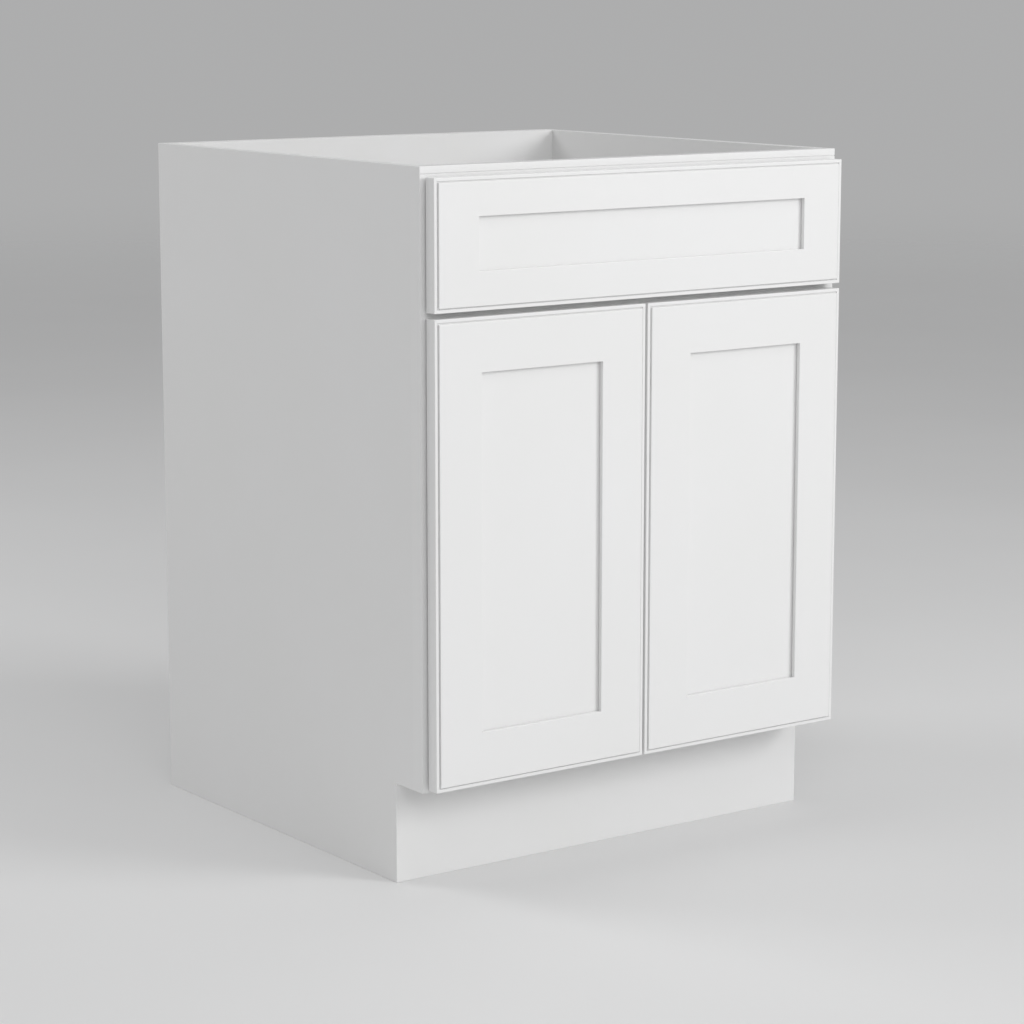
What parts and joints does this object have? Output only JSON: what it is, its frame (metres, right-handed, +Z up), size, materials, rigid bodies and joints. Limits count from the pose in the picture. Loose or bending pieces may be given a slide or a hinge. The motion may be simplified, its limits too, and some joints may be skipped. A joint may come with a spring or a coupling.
{
  "type": "bathroom vanity cabinet",
  "caption": "Floor-standing sink-base vanity cabinet with an open top, framed recessed-panel doors on concealed hinges, a fixed false drawer front and a recessed toe kick.",
  "frame": {"origin": "on the floor, at the middle of the cabinet's footprint, fronts included", "axes": "+Z up, the doors face -Y, +X to the right of someone facing the doors"},
  "size_m": [0.6096, 0.608, 0.832],
  "materials": {
    "painted_front": "satin white paint",
    "painted_case": "satin white paint",
    "inside_panel": "white matt coating",
    "bare_wood": "unfinished beech",
    "hinge_steel": "nickel plated",
    "bracket_steel": "zinc plated",
    "screw_steel": "zinc plated",
    "bumper_rubber": "clear soft plastic"
  },
  "bodies": {
    "root": {"left_side_panel": "painted_case", "right_side_panel": "painted_case", "floor_panel": "inside_panel", "back_panel": "inside_panel", "hanging_rail": "inside_panel", "toe_kick_board": "painted_case", "toe_kick_cleats": "bare_wood", "cleat_screws": "screw_steel", "left_frame_stile": "painted_front", "right_frame_stile": "painted_front", "top_frame_rail": "painted_front", "middle_frame_rail": "painted_front", "bottom_frame_rail": "painted_front", "frame_dowels": "bare_wood", "corner_brackets": "bracket_steel", "corner_bracket_screws": "screw_steel", "back_panel_screws": "screw_steel", "false_front_left_stile": "painted_front", "false_front_right_stile": "painted_front", "false_front_top_rail": "painted_front", "false_front_bottom_rail": "painted_front", "false_front_panel": "painted_front", "false_front_brackets": "bracket_steel", "false_front_bracket_screws": "screw_steel", "false_front_bumpers": "bumper_rubber", "left_hinge_arms": "hinge_steel", "left_hinge_arm_screws": "screw_steel", "right_hinge_arms": "hinge_steel", "right_hinge_arm_screws": "screw_steel"},
    "left_door": {"left_door_hinge_stile": "painted_front", "left_door_lock_stile": "painted_front", "left_door_top_rail": "painted_front", "left_door_bottom_rail": "painted_front", "left_door_panel": "painted_front", "left_door_bumpers": "bumper_rubber", "left_hinge_cups": "hinge_steel", "left_hinge_pins": "hinge_steel", "left_hinge_springs": "hinge_steel", "left_hinge_cup_screws": "screw_steel"},
    "right_door": {"right_door_hinge_stile": "painted_front", "right_door_lock_stile": "painted_front", "right_door_top_rail": "painted_front", "right_door_bottom_rail": "painted_front", "right_door_panel": "painted_front", "right_door_bumpers": "bumper_rubber", "right_hinge_cups": "hinge_steel", "right_hinge_pins": "hinge_steel", "right_hinge_springs": "hinge_steel", "right_hinge_cup_screws": "screw_steel"}
  },
  "joints": [
    {"name": "left_door_hinge", "type": "hinge", "parent": "root", "child": "left_door", "pos_m": [-0.2916, -0.2945, 0.393], "axis": [0, 0, -1], "range_deg": [0, 105]},
    {"name": "right_door_hinge", "type": "hinge", "parent": "root", "child": "right_door", "pos_m": [0.2916, -0.2945, 0.393], "axis": [0, 0, 1], "range_deg": [0, 105]}
  ]
}
